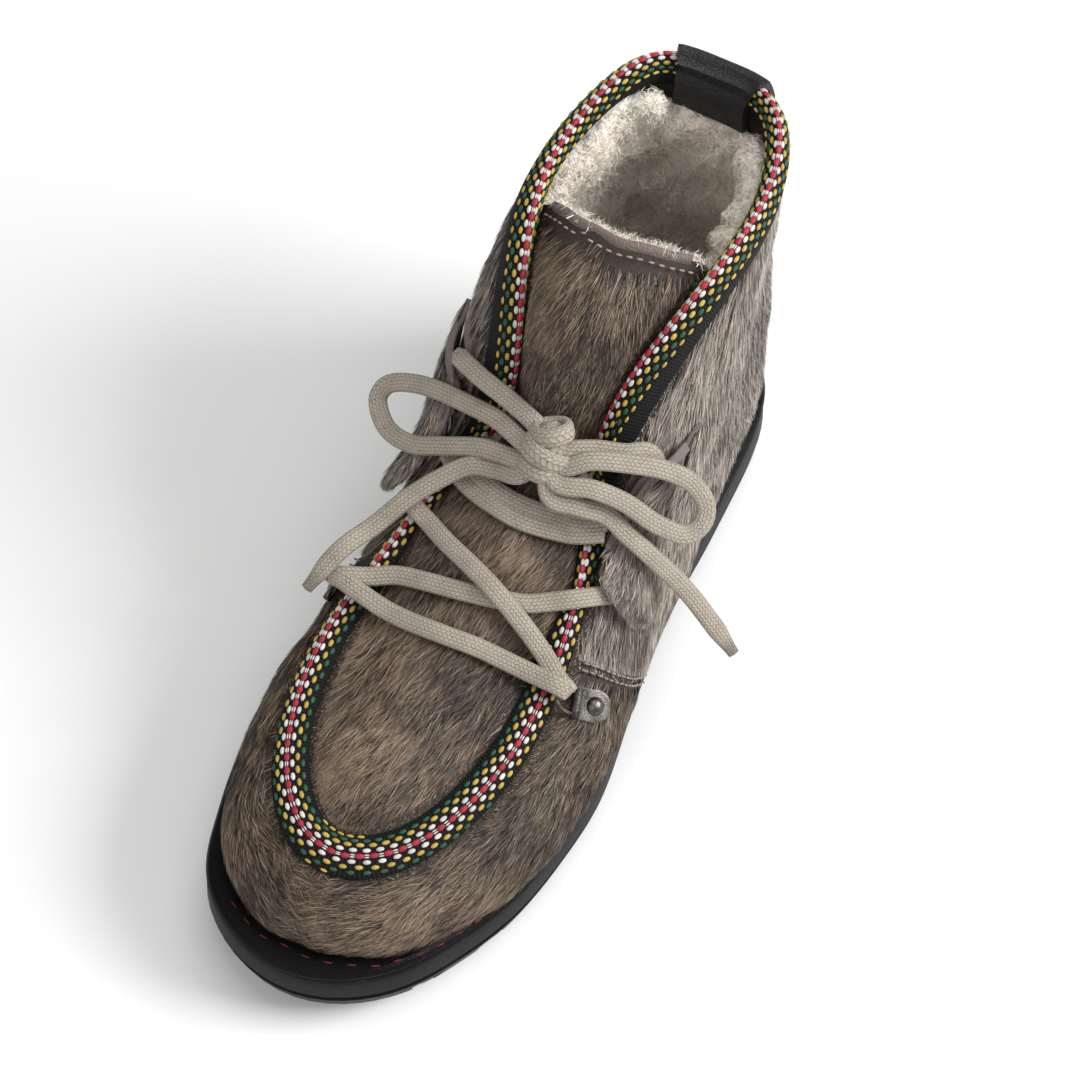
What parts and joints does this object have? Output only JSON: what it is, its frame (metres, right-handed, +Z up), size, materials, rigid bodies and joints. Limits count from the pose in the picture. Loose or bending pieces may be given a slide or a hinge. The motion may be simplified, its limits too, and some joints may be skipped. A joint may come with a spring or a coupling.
{
  "type": "sheepskin boot",
  "caption": "Left ankle boot of hair-on sheepskin with fleece lining, woven braid trim, lace wings, hooks with tied laces and a lugged rubber sole.",
  "frame": {"origin": "on the floor under the middle of the heel", "axes": "-Y towards the toe, +X to the wearer's left (the boot's outer side), +Z up"},
  "size_m": [0.1364, 0.2886, 0.1726],
  "materials": {
    "hide": "hair-on sheepskin, taupe with lighter tips",
    "fleece": "cream shearling",
    "rubber": "black, satin",
    "braid": "woven cotton braid in black, red, yellow, green and white",
    "leather": "black grained leather",
    "cotton": "beige braided cotton",
    "steel": "dark nickel plate"
  },
  "bodies": {
    "root": {"upper": "hide", "tongue": "hide", "lace_wing_lateral": "hide", "lace_wing_medial": "hide", "fleece_lining": "fleece", "insole": "fleece", "braid": "braid", "pull_tab": "leather", "lace_hook_lateral": "steel", "lace_hook_medial": "steel", "lace_knot": "cotton", "lace_run_lateral": "cotton", "lace_run_medial": "cotton", "lace_loop_lateral": "cotton", "lace_loop_medial": "cotton", "lace_end_lateral": "cotton", "lace_end_medial": "cotton", "lace_crossings": "cotton", "lace_strands": "cotton", "welt": "rubber", "outsole": "rubber"}
  },
  "joints": []
}
